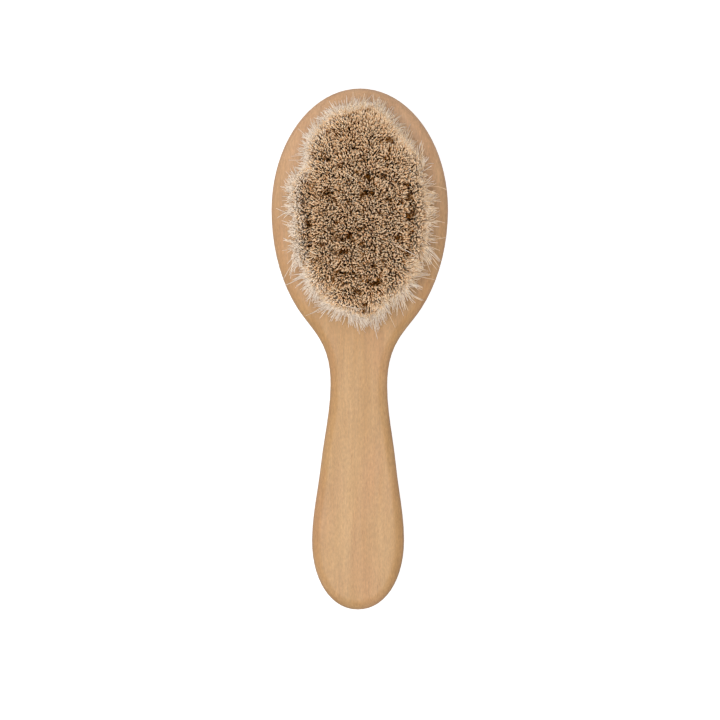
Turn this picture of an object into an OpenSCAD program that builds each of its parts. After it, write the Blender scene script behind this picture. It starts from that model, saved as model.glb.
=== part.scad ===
// Oval wooden hand brush with a paddle handle and a field of soft hair tufts.
//
// Frame, in millimetres: the brush lies on its flat back on z = 0 with the hair up.
// +Y runs from the handle to the crown of the head and +X is to the right.
// The origin is below the middle of the bounding box.
//
// One piece of wood carries a staggered grid of blind holes. Each hole holds one tuft,
// which is a bundle of hair folded in half under a flat metal anchor. The anchor is
// driven across the hole and bites into the wood on both sides.

/* [Body] */
// Overall length, from the foot of the handle to the crown of the head
body_length = 180; // [178:1:184]
// Thickness of the wood, from the flat back to the flat hair face
body_thickness = 12; // [11:0.5:14]
// Radius of the rounded-over edges, on the back and on the hair face
edge_radius = 3.5; // [2:0.5:5]

/* [Head] */
// Greatest width of the head
head_width = 61; // [60:0.5:64]
// Distance from the widest line of the head up to the crown
crown_height = 41.9; // [40:0.1:43]
// Distance from the widest line down to the foot of the head's ellipse
heel_height = 47.8; // [47:0.1:49]

/* [Handle] */
// Greatest width of the handle
handle_width = 31.8; // [30:0.2:33]
// Width of the neck, the narrowest place
neck_width = 19.6; // [18:0.2:21]
// Distance from the foot up to the widest line of the handle
handle_end = 24; // [22:1:26]
// Fullness of the handle's round end: 2 is an ellipse, and more is squarer
end_fullness = 2.1; // [2:0.1:2.6]

/* [Tufts] */
// Free length of the hair above the wood
hair_length = 20; // [16:1:22]
// Diameter of a tuft where it is cut level
tip_diameter = 5.4; // [4:0.1:5.6]
// Spacing of the columns of holes, across the head
column_pitch = 7.2; // [6.8:0.1:7.6]
// Spacing of the holes along a column
row_pitch = 5.2; // [5:0.1:5.4]
// Outward lean of the outermost columns, in degrees
side_lean = 9.5; // [6:0.5:11]
// Outward lean of the outermost rows, in degrees
end_lean = 10; // [6:0.5:11]

/* [Holes and anchors] */
// Diameter of a drilled hole
hole_diameter = 3.5; // [3:0.1:3.7]
// Depth of a hole's straight wall
hole_depth = 7.2; // [6:0.1:7.6]
// Thickness of the anchor strip
anchor_thickness = 0.35; // [0.2:0.05:0.5]
// Height of the anchor strip, along the hole
anchor_height = 1.8; // [1.4:0.1:2.2]
// How far each end of an anchor bites into the wood
anchor_bite = 0.35; // [0.2:0.05:0.5]

/* [Hidden] */
$fn = 48;
tiny = 0.02;  // play between a packed tuft and the wall of its hole
wood_color = [0.83, 0.68, 0.51];
hair_color = [0.66, 0.54, 0.41];
anchor_color = [0.74, 0.75, 0.77];

// The tuft grid: the first row of each column, counted in row pitches from the middle
// of the field, and the number of tufts in that column. Neighbouring columns are
// staggered by half a pitch.
columns = [[-2, 4], [-3.5, 8], [-5, 11], [-4.5, 10], [-4, 8], [-1.5, 5]];
letters = "abcdef";

foot_y = -body_length / 2;
head_y = body_length / 2 - crown_height;  // the widest line of the head
field_y = head_y - 1.4;                   // the middle of the tuft field
drill_point = hole_diameter / 2 * tan(31);
straight_neck = 0.8;  // a tuft keeps the width of its hole this far above the wood
anchor_lift = 0.5;    // from the end of the hole's straight wall to the anchor
trim_height = body_thickness + hair_length;

// --- Names -----------------------------------------------------------------------

function tuft_name(c, r) = str("tuft_", letters[c], r + 1);
function anchors_name(c) = str("anchors_", letters[c]);

// --- Outline of the wood -----------------------------------------------------------

end_steps = 14;    // points round one side of the handle's end
span_steps = 6;    // points in each span of the handle
heel_steps = 9;    // points in the lower part of the head
crown_steps = 20;  // points in the upper part of the head
heel_angle = -45.5;  // where the neck's flare meets the head's ellipse
fullness = 2 / end_fullness;

function head_point(a) = [
    head_width / 2 * cos(a),
    head_y + (a < 0 ? heel_height : crown_height) * sin(a)
];
heel_join = head_point(heel_angle);
heel_slope = head_width / 2 * tan(-heel_angle) / heel_height;

// The handle's half-width at a few stations: [y, half-width, slope]
stations = [
    [foot_y + handle_end, handle_width / 2, 0],
    [foot_y + handle_end + 26, 0.52 * handle_width / 2 + 0.48 * neck_width / 2, -0.104],
    [head_y - 60.6, neck_width / 2, 0],
    [head_y - 44.1, neck_width / 2 + 4.2, 0.637],
    [heel_join[1], heel_join[0], heel_slope]
];

// A smooth curve from station a to station b, at t from 0 to 1
function span_point(a, b, t) = let (h = b[0] - a[0]) [
    (2 * pow(t, 3) - 3 * pow(t, 2) + 1) * a[1] + (pow(t, 3) - 2 * pow(t, 2) + t) * h * a[2]
        + (3 * pow(t, 2) - 2 * pow(t, 3)) * b[1] + (pow(t, 3) - pow(t, 2)) * h * b[2],
    a[0] + h * t
];

// The right side of the outline, from the foot to the crown
side = concat(
    [for (i = [0:end_steps - 1]) let (a = 90 * i / end_steps)
        [handle_width / 2 * pow(sin(a), fullness), foot_y + handle_end * (1 - pow(cos(a), fullness))]],
    [for (s = [0:len(stations) - 2]) for (i = [0:span_steps - 1])
        span_point(stations[s], stations[s + 1], i / span_steps)],
    [for (i = [0:heel_steps - 1]) head_point(heel_angle * (1 - i / heel_steps))],
    [for (i = [0:crown_steps - 1]) head_point(90 * i / crown_steps)],
    [[0, body_length / 2]]
);
side_last = len(side) - 1;
loop_count = 2 * side_last;

function loop_point(i) = let (k = (i + loop_count) % loop_count)
    k <= side_last ? side[k] : [-side[loop_count - k][0], side[loop_count - k][1]];

// The outward direction at a point of the outline, from its two neighbours
function outward(i) = let (d = loop_point(i + 1) - loop_point(i - 1)) [d[1], -d[0]] / norm(d);

// --- Wooden body -------------------------------------------------------------------

edge_bands = 6;  // bands over one rounded edge
last_ring = 2 * edge_bands + 1;

// The rings run from the back to the hair face: a quarter round, a straight wall, a quarter round
function ring_points(k) = let (
    a = 90 * (k > edge_bands ? k - edge_bands - 1 : k - edge_bands) / edge_bands,
    middle = k > edge_bands ? body_thickness - edge_radius : edge_radius,
    inset = edge_radius * (1 - cos(a)),
    z = middle + edge_radius * sin(a)
) [for (i = [0:loop_count - 1]) let (p = loop_point(i) - inset * outward(i)) [p[0], p[1], z]];

// A flat face made of strips that run from the right side to the left side
function cap_strips(ring) = let (first = ring * loop_count) [
    for (i = [0:side_last - 1]) let (
        left_a = (loop_count - i) % loop_count,
        left_b = loop_count - i - 1
    )
    i == 0 ? [first, first + left_b, first + 1]
    : i == side_last - 1 ? [first + i, first + left_a, first + i + 1]
    : [first + i, first + left_a, first + left_b, first + i + 1]
];

function reversed(list) = [for (i = [len(list) - 1:-1:0]) list[i]];

module blank() {
    points = [for (k = [0:last_ring]) each ring_points(k)];
    edge_faces = [
        for (k = [0:last_ring - 1]) for (i = [0:loop_count - 1]) let (
            low = k * loop_count,
            high = low + loop_count,
            next = (i + 1) % loop_count
        ) [low + i, high + i, high + next, low + next]
    ];
    back_faces = [for (face = cap_strips(0)) reversed(face)];
    polyhedron(points = points, faces = concat(edge_faces, back_faces, cap_strips(last_ring)));
}

// --- Tuft places -------------------------------------------------------------------

outer_x = column_pitch * (len(columns) - 1) / 2;
outer_y = row_pitch * 5;

function tuft_place(c, r) = [column_pitch * c - outer_x, row_pitch * (columns[c][0] + r)];

// Moves its children to the mouth of a hole, with their z axis along the hole
module at_tuft(c, r) {
    place = tuft_place(c, r);
    lean_x = atan(tan(side_lean) * place[0] / outer_x);
    lean_y = atan(tan(end_lean) * place[1] / outer_y);
    translate([place[0], field_y + place[1], body_thickness])
        rotate([-lean_y, lean_x, 0])
            children();
}

module round_hole(radius, top) {
    translate([0, 0, -hole_depth]) cylinder(r = radius, h = hole_depth + top);
    translate([0, 0, -hole_depth - drill_point]) cylinder(r1 = 0, r2 = radius, h = drill_point);
}

module anchor_strip() {
    translate([
        -hole_diameter / 2 - anchor_bite,
        -anchor_thickness / 2,
        anchor_lift - hole_depth
    ])
        cube([hole_diameter + 2 * anchor_bite, anchor_thickness, anchor_height]);
}

// --- Sub-parts ---------------------------------------------------------------------

module brush_body() {
    color(wood_color)
        difference() {
            blank();
            for (c = [0:len(columns) - 1])
                for (r = [0:columns[c][1] - 1])
                    at_tuft(c, r) {
                        round_hole(hole_diameter / 2, 2);
                        anchor_strip();
                    }
        }
}

module tuft(c, r) {
    radius = hole_diameter / 2 - tiny;
    color(hair_color)
        difference() {
            at_tuft(c, r)
                difference() {
                    union() {
                        round_hole(radius, straight_neck);
                        translate([0, 0, straight_neck])
                            cylinder(r1 = radius, r2 = tip_diameter / 2, h = hair_length + 1);
                    }
                    anchor_strip();
                }
            // The field is trimmed level after the tufts are set
            translate([-head_width, 0, trim_height]) cube([2 * head_width, body_length, hair_length]);
        }
}

module anchors(c) {
    color(anchor_color)
        for (r = [0:columns[c][1] - 1])
            at_tuft(c, r) anchor_strip();
}

brush_body();
for (c = [0:len(columns) - 1]) for (r = [0:columns[c][1] - 1])
    tuft(c, r);
for (c = [0:len(columns) - 1])
    anchors(c);
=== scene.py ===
"""Looks of an oval wooden brush with soft hair tufts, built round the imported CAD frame.

The scene is in metres, in the frame of the part: the brush lies on its flat back on z = 0,
hair up, handle towards -Y and the crown of the head towards +Y. The hair is worked out in
millimetres, and becomes metres where its meshes are made.
"""

import math

import bpy
import numpy as np
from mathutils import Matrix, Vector, noise


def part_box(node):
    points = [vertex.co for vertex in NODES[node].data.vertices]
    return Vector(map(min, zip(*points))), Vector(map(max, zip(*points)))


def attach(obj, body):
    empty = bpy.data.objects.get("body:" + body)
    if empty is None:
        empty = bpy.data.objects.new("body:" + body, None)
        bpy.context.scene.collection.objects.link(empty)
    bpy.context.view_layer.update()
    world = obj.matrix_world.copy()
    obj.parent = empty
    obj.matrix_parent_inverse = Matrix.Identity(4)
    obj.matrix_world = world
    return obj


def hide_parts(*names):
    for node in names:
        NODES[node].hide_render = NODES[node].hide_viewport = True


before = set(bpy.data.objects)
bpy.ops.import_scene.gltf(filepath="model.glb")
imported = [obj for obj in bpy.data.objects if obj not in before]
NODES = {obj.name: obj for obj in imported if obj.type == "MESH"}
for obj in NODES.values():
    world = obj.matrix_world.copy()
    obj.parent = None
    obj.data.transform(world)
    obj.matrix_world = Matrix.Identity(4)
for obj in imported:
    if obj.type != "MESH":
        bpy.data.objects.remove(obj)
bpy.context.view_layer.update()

MM = 0.001
TUFTS = sorted(n for n in NODES if n.startswith("tuft_"))
ANCHORS = sorted(n for n in NODES if n.startswith("anchors_"))
SURFACE_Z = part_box("brush_body")[1].z  # the hair face of the wood
TRIM_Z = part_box(TUFTS[0])[1].z  # the level that the hair is cut to


# --- Colours and node helpers ------------------------------------------------------

NONE, FULL = (0, 0, 0, 1), (1, 1, 1, 1)  # the ends of a ramp that serves as a mask


def linear(r, g, b):
    """An sRGB colour, 0 to 255, as the linear RGBA that shaders take."""
    channels = [c / 255 for c in (r, g, b)]
    return [c / 12.92 if c <= 0.04045 else ((c + 0.055) / 1.055) ** 2.4 for c in channels] + [1]


class Nodes:
    """A material's node tree, with short ways to add and link nodes."""

    def __init__(self, name):
        self.material = bpy.data.materials.new(name)
        self.material.use_nodes = True
        self.tree = self.material.node_tree
        self.shader = self.tree.nodes["Principled BSDF"]

    def add(self, kind, links=None, **settings):
        """Adds a node. links maps an input to a socket to link or a value to set."""
        node = self.tree.nodes.new("ShaderNode" + kind)
        for key, value in settings.items():
            setattr(node, key, value)
        for key, value in (links or {}).items():
            self.feed(node.inputs[key], value)
        return node

    def feed(self, socket, value):
        if isinstance(value, bpy.types.NodeSocket):
            self.tree.links.new(value, socket)
        else:
            socket.default_value = value

    def shade(self, **values):
        """Sets or links inputs of the Principled shader, by name with _ for a space."""
        for key, value in values.items():
            self.feed(self.shader.inputs[key.replace("_", " ")], value)

    def math(self, operation, a, b=0.0, c=0.0):
        return self.add("Math", {0: a, 1: b, 2: c}, operation=operation).outputs[0]

    def noise(self, vector, scale, detail=2.0, roughness=0.5):
        links = {"Vector": vector, "Scale": scale, "Detail": detail, "Roughness": roughness}
        return self.add("TexNoise", links).outputs["Fac"]

    def stretched(self, vector, scale):
        """The coordinates scaled along each axis."""
        return self.add("VectorMath", {0: vector, 1: scale}, operation="MULTIPLY").outputs[0]

    def ramp(self, factor, *stops):
        """A colour ramp through (position, colour) stops."""
        node = self.add("ValToRGB", {"Fac": factor})
        elements = node.color_ramp.elements
        while len(elements) < len(stops):
            elements.new(0.5)
        for element, (position, colour) in zip(elements, stops):
            element.position = position
            element.color = colour
        return node.outputs["Color"]

    def mix(self, factor, a, b, blend="MIX"):
        return self.add("Mix", {0: factor, 6: a, 7: b}, data_type="RGBA", blend_type=blend).outputs[2]


# --- Wood ---------------------------------------------------------------------------

WOOD_TONES = [(0.28, linear(185, 142, 93)), (0.50, linear(195, 153, 103)), (0.72, linear(205, 166, 118))]
# A paler tone painted on the crown: painted light that stands in for the light which the hair's shade
# takes away there
CROWN_PAINTED_LIGHT = linear(228, 190, 160)
BLUSH_TONE = linear(202, 154, 112)
FLECK_TONE = linear(160, 108, 74)
PAINTED_LIGHT_FROM, PAINTED_LIGHT_TO = 0.01, 0.08  # painted light: the wood is painted paler from the neck, here, to the crown, to make up for the shade that the hair throws on the head
PAINTED_LIGHT_SHARE = 0.4  # how much of the crown's painted-light tone it has there
GRAIN_WANDER = 4.0  # how far the grain strays sideways, in millimetres


def wood_material():
    """Pale close-grained hardwood: lengthwise streaks, short darker flecks, satin finish, and painted
    light: a paler crown.
    """
    n = Nodes("beech_wood")
    place = n.add("TexCoord").outputs["Object"]
    # Coordinates in millimetres, which wander a little from side to side along the grain
    warp = n.noise(n.stretched(place, (60, 14, 60)), 1.0, 2.0)
    bend = n.math("MULTIPLY", n.math("SUBTRACT", warp, 0.5), GRAIN_WANDER)
    shift = n.add("CombineXYZ", {"X": bend, "Y": 0.0, "Z": bend}).outputs[0]
    in_mm = n.stretched(place, (1000, 1000, 1000))
    grain = n.add("VectorMath", {0: in_mm, 1: shift}, operation="ADD").outputs[0]

    def along(scale, detail, roughness=0.5):
        """A pattern with so many cycles per millimetre across, along and through the board."""
        return n.noise(n.stretched(grain, scale), 1.0, detail, roughness)

    broad = along((0.16, 0.008, 0.5), 3.0, 0.6)
    mottle = along((0.4, 0.11, 0.3), 2.0)
    streaks = along((1.5, 0.028, 1.2), 3.0, 0.7)
    fibres = along((2.6, 0.75, 2.0), 2.0, 0.6)
    flecks = along((1.9, 0.34, 1.2), 1.0, 0.4)
    blush = along((0.09, 0.03, 0.1), 1.0)

    # Painted light: towards the crown the wood is painted paler, to make up for the shade that the tall
    # hair throws on the head round it
    lengthwise = n.add("SeparateXYZ", {0: place}).outputs["Y"]
    span = {"Value": lengthwise, 1: PAINTED_LIGHT_FROM, 2: PAINTED_LIGHT_TO, 3: 0.0, 4: PAINTED_LIGHT_SHARE}
    base = n.mix(n.add("MapRange", span).outputs[0], n.ramp(broad, *WOOD_TONES), CROWN_PAINTED_LIGHT)
    blushed = n.ramp(blush, (0.45, NONE), (0.75, (0.6, 0.6, 0.6, 1)))
    tinted = n.mix(blushed, base, BLUSH_TONE)
    # Each pattern lightens and darkens the wood about its mean, by half of its strength
    depth = 1.0
    for pattern, strength in ((streaks, 0.32), (fibres, 0.62), (mottle, 0.20)):
        depth = n.math("MULTIPLY", n.math("MULTIPLY_ADD", pattern, strength, 1.0 - strength / 2), depth)
    toned = n.mix(1.0, tinted, depth, "MULTIPLY")
    dash = n.ramp(flecks, (0.64, NONE), (0.74, FULL))
    colour = n.mix(n.math("MULTIPLY", dash, 0.26), toned, FLECK_TONE)

    relief = n.math("ADD", n.math("MULTIPLY", fibres, 0.6), n.math("MULTIPLY", dash, -0.4))
    bump = n.add("Bump", {"Height": relief, "Strength": 0.25, "Distance": 0.06 * MM})
    rough = n.math("MULTIPLY_ADD", streaks, 0.18, 0.42)
    n.shade(Base_Color=colour, Roughness=rough, Normal=bump.outputs[0], Specular_IOR_Level=0.35)
    return n.material


def soften(mesh, corner_angle=40):
    """Shades a faceted mesh as the smooth shape that it stands for. No vertex moves: each corner
    takes the mean normal, by area, of the faces at its place that turn less than corner_angle."""
    corners = len(mesh.loops)
    vertex = np.empty(corners, np.int32)
    mesh.loops.foreach_get("vertex_index", vertex)
    places = np.array([v.co for v in mesh.vertices])
    _, place = np.unique(np.round(places, 7), axis=0, return_inverse=True)
    place = place.ravel()[vertex]
    sizes = [len(face.loop_indices) for face in mesh.polygons]
    normal = np.repeat([face.normal for face in mesh.polygons], sizes, axis=0)
    area = np.repeat([face.area for face in mesh.polygons], sizes)
    order = np.argsort(place, kind="stable")
    soft = np.empty_like(normal)
    for group in np.split(order, np.flatnonzero(np.diff(place[order])) + 1):
        near = normal[group] @ normal[group].T > math.cos(math.radians(corner_angle))
        total = (near * area[group]) @ normal[group]
        soft[group] = total / np.linalg.norm(total, axis=1, keepdims=True)
    mesh.polygons.foreach_set("use_smooth", np.ones(len(mesh.polygons), bool))
    mesh.normals_split_custom_set(soft.tolist())


# --- Wire ---------------------------------------------------------------------------


def wire_material():
    """Flat steel wire: fine lines along the strip, left by the drawing die."""
    n = Nodes("flat_wire")
    place = n.add("TexCoord").outputs["Object"]
    lines = n.noise(n.stretched(place, (300, 9000, 9000)), 1.0, 3.0, 0.6)
    dull = n.noise(n.stretched(place, (700, 700, 700)), 1.0, 2.0)
    colour = n.ramp(dull, (0.3, linear(186, 186, 190)), (0.7, linear(212, 212, 216)))
    rough = n.math("MULTIPLY_ADD", lines, 0.25, 0.22)
    bump = n.add("Bump", {"Height": lines, "Strength": 0.3, "Distance": 0.01 * MM})
    n.shade(Base_Color=colour, Metallic=1.0, Roughness=rough, Normal=bump.outputs[0])
    return n.material


# --- Hair: tones ---------------------------------------------------------------------

# One material each. A hair's shaft, middle and tip each take one of them.
HAIR_TONES = {
    "hair_white": (255, 241, 223),
    "hair_cream": (255, 233, 202),
    "hair_sand": (252, 222, 182),
    "hair_tan": (240, 199, 152),
    "hair_brown": (168, 115, 53),
    "hair_dark": (102, 58, 10),
}
WHITE, CREAM, SAND, TAN, BROWN, DARK = range(len(HAIR_TONES))
MIDDLE_SHARES = {BROWN: 0.6, DARK: 0.4}
TIP_SHARES = {CREAM: 0.44, SAND: 0.35, TAN: 0.21}
# Tip tones painted as shade, where the hair is most hollow
SHADE_TIP_SHARES = {BROWN: 0.4, DARK: 0.6}
SHAFT_END, MIDDLE_END = 0.42, 0.85  # where along a free end the shaft and the middle stop
SHADE_DIM_HOLLOW, SHADE_DARK_HOLLOW = 0.4, 0.75  # painted shade: how hollow the hair is where its tips are painted duller, and where dark, for the shade that falls in the hollows
WHITE_BELOW, CREAM_BELOW = 0.48, 0.92  # a pale hair's tone, by how warm it is there
WARM_WAY = np.array([0.018, 0.0])  # how much warmer it is per millimetre, towards +X and +Y
FIELD_FADE = (0.93, 1.08)  # how far out the ends of the field turn pale, where 1 is the outline
FRINGE_FADE = 1.6  # ends that reach less far than this past the outline aren't all pale

# --- Hair: measures, in millimetres --------------------------------------------------

# The field of level-cut ends
FIELD_HALF = np.array([22.3, 34.4])  # half of its width and length
FIELD_CENTRE = np.array([-0.8, 47.3])
# Where its outline steps in between tufts, or out: the angle in degrees, and how deep, of 1
STEPS = [
    (20, 0.06),
    (44, 0.05),
    (80, -0.03),
    (151, 0.13),
    (188, 0.09),
    (203, 0.07),
    (281, -0.05),
    (330, -0.06),
]
STEP_WIDTH = 8
CLUMP_PITCH = 0.73  # the ends stand in small clumps, about this far apart
CLUMP_JITTER = 0.22 * CLUMP_PITCH
CLUMP_LEAN = 0.6
ENDS_PER_CLUMP = 4
END_JITTER = 0.09
LAID_OVER = 7  # pale ends that lie across the field
OWNER_JITTER = 0.45  # an end belongs to the tuft whose tip is nearest, give or take this
PARTING_WIDTH = 2.4

# The fringe of splayed ends. An end's reach is a share of the fringe's reach there.
FRINGE_REACH = 5.1
LONG_WAY = math.radians(300)  # the fringe is longest this way
LOCKS = 800  # small bunches of ends
ENDS_PER_LOCK = 3
LOCK_ENDS_SHARE = (0.7, 1.05)  # of the lock's own share
ENDS_AT_EDGE = 2400  # ends that lean out a little, all round
EDGE_SHARE = (-0.1, 0.42)
WISPS = 450  # single ends among the locks
WISP_SHARE = (0.4, 1.2)
STRAYS = 34  # single ends that stick out past the rest
STRAY_SHARE = (1.1, 1.75)
FULL_SPLAY = 4.0  # an end that reaches this far past the outline arches over fully

# One hair
ROOT_RADIUS = 1.55  # how far from a hole's axis a hair leaves the wood
FAN_WIDTH = 5.0  # an end that goes this far from its tuft's axis starts at the rim of the hole
FREE_LENGTH = 20.6  # of a hair that lies straight
SWAY = 0.35  # how far a hair's middle strays from its line
CUT_UNEVEN = 0.35
HOLLOW_DEPTH = 2.0  # how much lower the ends stand where the hair is hollow
SIDES = 3  # of the tube that makes a hair
HAIR_STATIONS = np.array([0, 0.27, 0.5, 0.66, 0.78, 0.9, 1.0])  # along a free end, from the wood
RADIUS_STATIONS = [0, 0.5, 0.9, 1.0]
CUT_RADIUS = np.interp(HAIR_STATIONS, RADIUS_STATIONS, [0.10, 0.13, 0.125, 0.105])
SPLAYED_RADIUS = np.interp(HAIR_STATIONS, RADIUS_STATIONS, [0.10, 0.13, 0.115, 0.07])
HIDDEN_RADIUS = 0.07  # in the hole
# In the hole: how far down, and how much of its distance from the axis a hair keeps there
HIDDEN_STATIONS = [(0.45, 1.0), (0.82, 0.85)]


# --- Hair: where the ends go ---------------------------------------------------------


def hair_materials():
    made = []
    for name, tone in HAIR_TONES.items():
        n = Nodes(name)
        n.shade(Base_Color=linear(*tone), Roughness=0.4, Specular_IOR_Level=0.04)
        made.append(n.material)
    return made


def tuft_axis(node):
    """A tuft's hole: the middle of its mouth, its axis and the point at its end."""
    points = np.array([v.co for v in NODES[node].data.vertices]) / MM
    end = points[points[:, 2].argmin()]
    top = points[points[:, 2] > TRIM_Z / MM - 0.01]
    tip = (top.min(0) + top.max(0)) / 2
    axis = (tip - end) / np.linalg.norm(tip - end)
    mouth = end + axis * (SURFACE_Z / MM - end[2]) / axis[2]
    return mouth, axis, end


def disc(rng, count):
    """Random points spread evenly over a disc of radius 1."""
    angle = rng.uniform(0, 2 * math.pi, count)
    return np.sqrt(rng.uniform(0, 1, count))[:, None] * np.stack([np.cos(angle), np.sin(angle)], 1)


def pick(rng, shares, size):
    """Random tones, each as often as its share says."""
    return rng.choice(list(shares), size, p=list(shares.values()))


def outline_scale(angle):
    """The field's outline is a little uneven: how far out it lies at each angle, about 1."""
    scale = 1 + 0.015 * np.cos(angle + 0.4) + 0.012 * np.sin(9 * angle + 2.0)
    for place, depth in STEPS:
        away = np.degrees(np.abs(np.angle(np.exp(1j * (angle - math.radians(place))))))
        scale = scale - depth * np.exp(-((away / STEP_WIDTH) ** 2))
    return scale


def field_ends(rng):
    """The level-cut ends, by their targets. rho is how far out an end is, 0 to 1, and bend is
    the way its clump leans at the tip."""
    columns = np.arange(-FIELD_HALF[0], FIELD_HALF[0], CLUMP_PITCH)
    rows = np.arange(-FIELD_HALF[1], FIELD_HALF[1], CLUMP_PITCH * math.sqrt(3) / 2)
    grid = np.stack(np.meshgrid(columns, rows), axis=-1)
    grid[1::2, :, 0] += CLUMP_PITCH / 2
    clumps = grid.reshape(-1, 2) + rng.normal(0, CLUMP_JITTER, (grid.size // 2, 2))
    place = clumps / FIELD_HALF
    angle = np.arctan2(place[:, 1], place[:, 0])
    rho = np.linalg.norm(place, axis=1) / outline_scale(angle)
    clumps, rho = clumps[rho < 1], rho[rho < 1]
    bend = disc(rng, len(clumps)) * CLUMP_LEAN
    clumps, rho, bend = (np.repeat(a, ENDS_PER_CLUMP, axis=0) for a in (clumps, rho, bend))
    laid = np.zeros(len(rho))
    laid[rng.choice(len(rho), LAID_OVER, replace=False)] = 1
    target = FIELD_CENTRE + clumps + rng.normal(0, END_JITTER, clumps.shape)
    return {"target": target, "rho": rho, "reach": np.zeros(len(rho)), "bend": bend, "laid": laid}


def fringe_ends(rng):
    """The splayed ends. reach is how far past the outline each one finishes."""
    in_locks = LOCKS * ENDS_PER_LOCK
    single = ENDS_AT_EDGE + WISPS + STRAYS
    lock_angle = rng.uniform(0, 2 * math.pi, LOCKS)
    lock_angle = np.repeat(lock_angle, ENDS_PER_LOCK) + rng.normal(0, 0.010, in_locks)
    angle = np.concatenate([lock_angle, rng.uniform(0, 2 * math.pi, single)])
    lock_share = np.repeat(rng.beta(1.3, 1.6, LOCKS), ENDS_PER_LOCK)
    share = np.concatenate(
        [
            lock_share * rng.uniform(*LOCK_ENDS_SHARE, in_locks),
            rng.uniform(*EDGE_SHARE, ENDS_AT_EDGE),
            rng.uniform(*WISP_SHARE, WISPS),
            rng.uniform(*STRAY_SHARE, STRAYS),
        ]
    )
    lock_bend = np.repeat(disc(rng, LOCKS), ENDS_PER_LOCK, axis=0)
    bend = np.concatenate([lock_bend, disc(rng, single)])
    way = np.stack([np.cos(angle), np.sin(angle)], 1)
    uneven = np.array([noise.noise((2.2 * x, 2.2 * y, 3.0)) for x, y in way])
    furthest = FRINGE_REACH - 0.3 * way[:, 1] ** 2
    furthest *= 1 + 0.3 * uneven + 0.2 * np.cos(angle - LONG_WAY)
    reach = furthest * share
    edge = way * FIELD_HALF * outline_scale(angle)[:, None]
    outward = way / FIELD_HALF
    outward /= np.linalg.norm(outward, axis=1, keepdims=True)
    target = FIELD_CENTRE + edge + outward * reach[:, None]
    return {
        "target": target,
        "rho": np.full(len(share), 0.9),
        "reach": np.maximum(reach, 0.01),
        "bend": bend,
        "laid": np.zeros(len(share)),
    }


def patches(points):
    """A smooth random value from about -1 to 1 at each place: the hair isn't even all over."""
    fine = [noise.noise((x / 2.6, y / 2.6, 0.0)) for x, y in points]
    coarse = [noise.noise((x / 7, y / 7, 5.0)) for x, y in points]
    return np.array(fine) + 0.7 * np.array(coarse)


def wander(points):
    """A smooth random shift of up to about a millimetre at each place."""
    # noise_vector would differ from run to run, so two plain noises stand in for it
    shifts = [[noise.noise((x / 4, y / 4, z)) for z in (3.3, 17.7)] for x, y in points]
    return np.array(shifts) * 1.6


def part_hair(ends, tips):
    """The hair parts a little between the tufts, whose tips are given. Sets how hollow it is at
    each end, and draws the ends there back towards their own tuft."""
    away = (ends["target"] + wander(ends["target"]))[:, None] - tips[None]
    exact = np.linalg.norm(away, axis=2)
    between = np.diff(np.sort(exact, axis=1)[:, :2], axis=1)[:, 0]
    parting = np.clip(1 - between / PARTING_WIDTH, 0, 1)
    lengthwise = (ends["target"] - FIELD_CENTRE)[:, 1] / FIELD_HALF[1]
    sunk = 0.3 + 0.35 * lengthwise**2 + 1.4 * patches(ends["target"])
    hollow = np.clip(sunk, 0, 1.2) * (0.3 + 0.7 * parting)
    ends["hollow"] = np.where(ends["reach"] + ends["laid"] > 0, 0, hollow)
    own = away[np.arange(len(away)), exact.argmin(axis=1)]
    own /= np.linalg.norm(own, axis=1, keepdims=True)
    ends["target"] = ends["target"] - 0.2 * (ends["hollow"] * parting)[:, None] * own


# --- Hair: shapes and pieces ---------------------------------------------------------


def free_ends(rng, tuft, ends):
    """Centre lines of a tuft's free ends, from the mouth of its hole to the tips."""
    mouth, axis, _ = tuft
    target, reach = ends["target"], ends["reach"]
    count = len(target)
    height = TRIM_Z / MM - mouth[2]
    lean = axis[:2] / axis[2] * height
    # The further out an end goes, the nearer to the rim of the hole it starts
    fan = (target - mouth[:2] - lean) / FAN_WIDTH
    fan /= np.maximum(1, np.linalg.norm(fan, axis=1, keepdims=True))
    root = mouth[:2] + ROOT_RADIUS * np.clip(fan * 0.75 + disc(rng, count) * 0.35, -0.95, 0.95)
    # From above: it follows the tuft's axis, swerves to its target, sways and curls at the tip
    splay = np.clip(reach / FULL_SPLAY, 0, 1)[:, None]
    laid = ends["laid"][:, None]
    s = HAIR_STATIONS[None]
    swerve = target - root - lean
    flat = root[:, None] + lean * s[..., None] + swerve[:, None] * (s ** (1.2 + 1.1 * splay))[..., None]
    curl = ends["bend"] * 1.2 + disc(rng, count) * (0.25 + 0.7 * splay)
    curl += laid * 7 * disc(rng, count)
    flat = flat + curl[:, None] * (np.clip((s - 0.7) / 0.3, 0, 1) ** 1.5 - 0.5)[..., None]
    flat = flat + (disc(rng, count) * SWAY)[:, None] * np.sin(math.pi * s)[..., None]
    # From the side: its length is given, so the further it goes, the less it rises
    travel = 1.04 * np.linalg.norm(target - root, axis=1)
    length = FREE_LENGTH / (1 + 0.1 * splay[:, 0])
    rise = np.sqrt(np.maximum(length**2 - travel**2, (0.35 * length) ** 2))
    level = np.minimum(rise, height) - np.abs(rng.normal(0, CUT_UNEVEN, count))
    level = level - HOLLOW_DEPTH * ends["hollow"]
    droop = 1 + 0.8 * splay + 2 * laid
    z = mouth[2] + level[:, None] * (1 - (1 - s) ** droop)
    return np.concatenate([flat, z[..., None]], axis=2)


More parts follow.
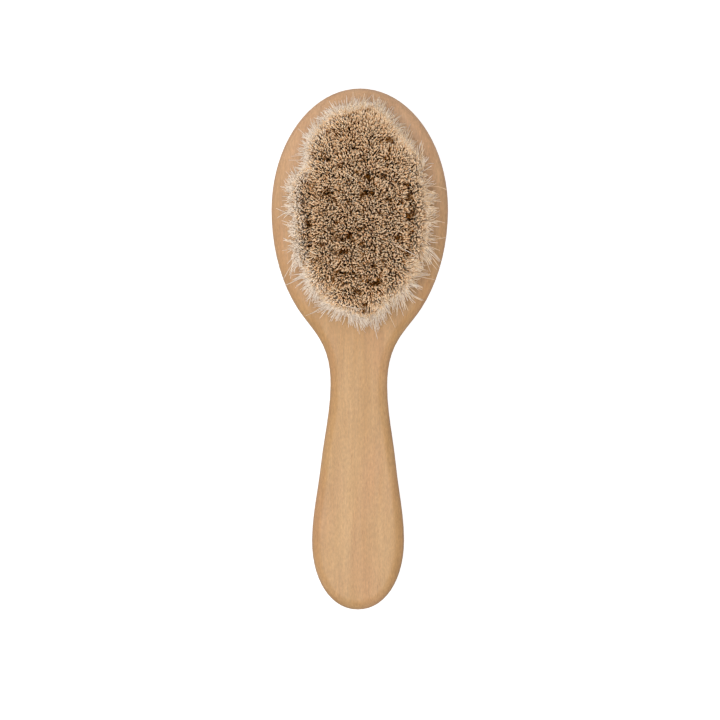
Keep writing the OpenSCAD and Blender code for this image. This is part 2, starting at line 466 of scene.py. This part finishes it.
def end_tones(rng, ends):
    """The material of each stretch of each free end, from the wood to the tip."""
    reach, hollow, count = ends["reach"], ends["hollow"], len(ends["reach"])
    shaft = rng.choice([CREAM, SAND], (count, 1))
    middle = pick(rng, MIDDLE_SHARES, (count, 1))
    tip = pick(rng, TIP_SHARES, (count, 1))
    # Painted shade: where the hair is hollow its tips are painted a tone duller, and where most hollow
    # brown or dark, for the shade that falls there
    dull = hollow + rng.normal(0, 0.2, count) > SHADE_DIM_HOLLOW
    tip[dull] = np.minimum(tip[dull] + 1, BROWN)
    deep = hollow + rng.normal(0, 0.2, count) > SHADE_DARK_HOLLOW
    tip[deep] = pick(rng, SHADE_TIP_SHARES, (deep.sum(), 1))
    along = (HAIR_STATIONS[1:] + HAIR_STATIONS[:-1])[None] / 2 + rng.normal(0, 0.05, (count, 1))
    tones = np.where(along < SHAFT_END, shaft, np.where(along < MIDDLE_END, middle, tip))
    # A pale hair is pale all along: whiter far out and on the left, sandier on the right
    offset = ends["target"] - FIELD_CENTRE
    across, lengthwise = (offset / FIELD_HALF).T
    warm = rng.uniform(0, 1, count) + offset @ WARM_WAY - 0.35 * np.clip(reach / FULL_SPLAY, 0, 1)
    warm += 0.12 * lengthwise**3
    pale = np.select([warm < WHITE_BELOW, warm < CREAM_BELOW], [WHITE, CREAM], SAND)
    in_fringe = reach > rng.uniform(0, FRINGE_FADE, count)
    near_edge = rng.uniform(*FIELD_FADE, count) < ends["rho"] + 0.13 * across**2
    is_pale = in_fringe | near_edge | (ends["laid"] > 0)
    return np.where(is_pale[:, None], np.minimum(tones, pale[:, None]), tones)


def folded_tuft(rng, tuft, ends):
    """Pairs the free ends of a tuft into folded hairs: the centres, radii and tones of its tubes."""
    mouth, axis, end = tuft
    half = len(ends["target"]) // 2
    order = np.argsort(ends["target"][:, 1])[: 2 * half]
    ends = {key: value[order] for key, value in ends.items()}
    lines = free_ends(rng, tuft, ends)
    tones = end_tones(rng, ends)
    depth = np.linalg.norm(mouth - end)
    offset = lines[:, 0] - mouth
    inside = np.stack([mouth - axis * depth * down + offset * kept for down, kept in HIDDEN_STATIONS], 1)
    near, far = slice(0, half), slice(half, None)
    fold = end + axis * rng.uniform(0.25, 0.7, (half, 1)) + (offset[near] + offset[far]) * 0.1
    centres = np.concatenate(
        [lines[near, ::-1], inside[near], fold[:, None], inside[far, ::-1], lines[far]], axis=1
    )
    hidden = 2 * len(HIDDEN_STATIONS) + 1
    free = np.where(ends["reach"][:, None] > 0, SPLAYED_RADIUS, CUT_RADIUS)
    radii = np.concatenate([free[near, ::-1], np.full((half, hidden), HIDDEN_RADIUS), free[far]], axis=1)
    radii *= rng.uniform(0.8, 1.25, (half, 1))
    tones = np.concatenate([tones[near, ::-1], np.full((half, hidden + 1), CREAM), tones[far]], axis=1)
    return centres, radii, tones


def tube_mesh(name, centres, radii, tones, materials):
    """One mesh of closed tubes. centres is (tubes, rings, 3), radii (tubes, rings) and tones
    (tubes, rings - 1), the material of each stretch."""
    count, rings, _ = centres.shape
    tangent = np.gradient(centres, axis=1)
    tangent /= np.linalg.norm(tangent, axis=2, keepdims=True)
    side = np.cross(tangent, np.array([0.37, 0.93, 0.08]))
    side /= np.linalg.norm(side, axis=2, keepdims=True)
    up = np.cross(tangent, side)
    angles = np.arange(SIDES) * 2 * math.pi / SIDES
    offset = side[:, :, None] * np.cos(angles)[:, None] + up[:, :, None] * np.sin(angles)[:, None]
    points = centres[:, :, None] + offset * radii[:, :, None, None]
    first = np.arange(count)[:, None, None] * rings * SIDES
    ring = np.arange(rings - 1)[None, :, None] * SIDES
    corner = np.arange(SIDES)[None, None, :]
    low, low_next = first + ring + corner, first + ring + (corner + 1) % SIDES
    quads = np.stack([low, low_next, low_next + SIDES, low + SIDES], axis=-1).reshape(-1, 4)
    start = np.arange(count)[:, None] * rings * SIDES
    start_caps = start + np.arange(SIDES)[::-1]
    end_caps = start + (rings - 1) * SIDES + np.arange(SIDES)
    mesh = bpy.data.meshes.new(name)
    faces = quads.tolist() + start_caps.tolist() + end_caps.tolist()
    mesh.from_pydata((points.reshape(-1, 3) * MM).tolist(), [], faces)
    for material in materials:
        mesh.materials.append(material)
    slots = np.concatenate([np.repeat(tones, SIDES, axis=1).ravel(), tones[:, 0], tones[:, -1]])
    mesh.polygons.foreach_set("material_index", slots.astype(np.int32))
    mesh.polygons.foreach_set("use_smooth", np.ones(len(mesh.polygons), bool))
    mesh.update()
    return mesh


def add_hair(materials):
    """One piece of folded hairs for each tuft, in place of its CAD solid."""
    rng = np.random.default_rng(7)
    tufts = {name: tuft_axis(name) for name in TUFTS}
    height = (TRIM_Z - SURFACE_Z) / MM
    tips = np.array([mouth[:2] + axis[:2] / axis[2] * height for mouth, axis, _ in tufts.values()])
    parts = [field_ends(rng), fringe_ends(rng)]
    ends = {key: np.concatenate([part[key] for part in parts]) for key in parts[0]}
    jitter = rng.normal(0, OWNER_JITTER, ends["target"].shape)
    gaps = np.linalg.norm((ends["target"] + jitter)[:, None] - tips[None], axis=2)
    nearest = gaps.argmin(axis=1)
    part_hair(ends, tips)
    for index, (name, tuft) in enumerate(tufts.items()):
        mine = {key: value[nearest == index] for key, value in ends.items()}
        label = name.replace("tuft", "hair")
        piece = bpy.data.objects.new(label, tube_mesh(label, *folded_tuft(rng, tuft, mine), materials))
        bpy.context.scene.collection.objects.link(piece)
        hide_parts(name)
        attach(piece, "root")


# --- Camera, light and studio --------------------------------------------------------

CAMERA_DISTANCE = 1.3
CAMERA_PLACE = (0.35 * MM, -3.8 * MM)
CAMERA_ROLL = math.radians(0.3)
FRAME_HEIGHT = 0.2492  # what the picture's height covers at the middle of the wood
SENSOR = 36

FLOOR_HALF = 3.0
WALL_RADIUS = FLOOR_HALF - 0.1
WALL_CURVE = 0.5  # radius of the curve from the floor up to the wall
WALL_TOP = 2.0
WALL_SEGMENTS = 64
WALL_BANDS = 8  # in the curve


def add_camera():
    data = bpy.data.cameras.new("camera")
    camera = bpy.data.objects.new("camera", data)
    bpy.context.scene.collection.objects.link(camera)
    data.sensor_width = SENSOR
    data.lens = SENSOR * CAMERA_DISTANCE / FRAME_HEIGHT
    data.clip_end = 20
    camera.location = (*CAMERA_PLACE, SURFACE_Z / 2 + CAMERA_DISTANCE)
    camera.rotation_euler = (0, 0, CAMERA_ROLL)
    bpy.context.scene.camera = camera


def add_area(name, place, size, power):
    """A round area light that points at the origin, under the middle of the brush."""
    data = bpy.data.lights.new(name, "AREA")
    data.shape = "DISK"
    data.size = size
    data.energy = power
    light = bpy.data.objects.new(name, data)
    light.location = place
    light.rotation_euler = (-Vector(place)).to_track_quat("-Z", "Y").to_euler()
    bpy.context.scene.collection.objects.link(light)


def add_stage_piece(name, points, faces, material):
    """Part of the studio. It is seen, but throws no light back at the brush: the world does that."""
    mesh = bpy.data.meshes.new(name)
    mesh.from_pydata(points, [], faces)
    mesh.materials.append(material)
    mesh.polygons.foreach_set("use_smooth", np.ones(len(mesh.polygons), bool))
    piece = bpy.data.objects.new(name, mesh)
    piece.visible_diffuse = False
    piece.visible_glossy = False
    bpy.context.scene.collection.objects.link(piece)
    return piece


def round_wall():
    """The points and faces of a round wall that curves up from the floor."""
    turns = np.linspace(0, math.pi / 2, WALL_BANDS + 1)
    foot = WALL_RADIUS - WALL_CURVE
    profile = [(foot + WALL_CURVE * math.sin(t), WALL_CURVE - WALL_CURVE * math.cos(t)) for t in turns]
    profile.append((WALL_RADIUS, WALL_TOP))
    points = []
    for radius, height in profile:
        for k in range(WALL_SEGMENTS):
            angle = 2 * math.pi * k / WALL_SEGMENTS
            points.append((radius * math.cos(angle), radius * math.sin(angle), height))
    faces = []
    for ring in range(len(profile) - 1):
        start = ring * WALL_SEGMENTS
        for k in range(WALL_SEGMENTS):
            low, low_next = start + k, start + (k + 1) % WALL_SEGMENTS
            faces.append((low, low + WALL_SEGMENTS, low_next + WALL_SEGMENTS, low_next))
    return points, faces


def add_studio():
    """A pale floor, and a pale wall round it that curves up, so that a low view has no horizon."""
    n = Nodes("studio_white")
    n.shade(Base_Color=(0.5, 0.5, 0.5, 1), Roughness=0.9)
    n.shade(Emission_Color=(1, 1, 1, 1), Emission_Strength=0.8)
    signs = [(-1, -1), (1, -1), (1, 1), (-1, 1)]
    corners = [(x * FLOOR_HALF, y * FLOOR_HALF, 0) for x, y in signs]
    add_stage_piece("floor", corners, [(0, 1, 2, 3)], n.material)
    wall = add_stage_piece("wall", *round_wall(), n.material)
    wall.visible_shadow = False


def add_world():
    """Even light from all round, a little more of it from below, as off a white table."""
    world = bpy.data.worlds.new("studio")
    bpy.context.scene.world = world
    world.use_nodes = True
    tree = world.node_tree
    background = tree.nodes["Background"]
    background.inputs["Color"].default_value = (1, 0.955, 0.975, 1)
    place = tree.nodes.new("ShaderNodeTexCoord")
    split = tree.nodes.new("ShaderNodeSeparateXYZ")
    strength = tree.nodes.new("ShaderNodeMapRange")
    settings = {"From Min": 0.1, "From Max": -0.1, "To Min": 0.42, "To Max": 0.54}
    for key, value in settings.items():
        strength.inputs[key].default_value = value
    tree.links.new(place.outputs["Generated"], split.inputs[0])
    tree.links.new(split.outputs["Z"], strength.inputs["Value"])
    tree.links.new(strength.outputs[0], background.inputs["Strength"])


add_camera()
add_world()
add_studio()
add_area("key", (-0.18, -0.1, 2.2), 1.0, 28.5)
add_area("fill", (-1.5, 0.9, 0.5), 1.2, 6.0)
bpy.context.scene.view_settings.view_transform = "Standard"

# --- The brush -----------------------------------------------------------------------

body = NODES["brush_body"].data
body.materials[0] = wood_material()
soften(body)
add_hair(hair_materials())

wire = wire_material()
for name in ANCHORS:
    NODES[name].data.materials[0] = wire
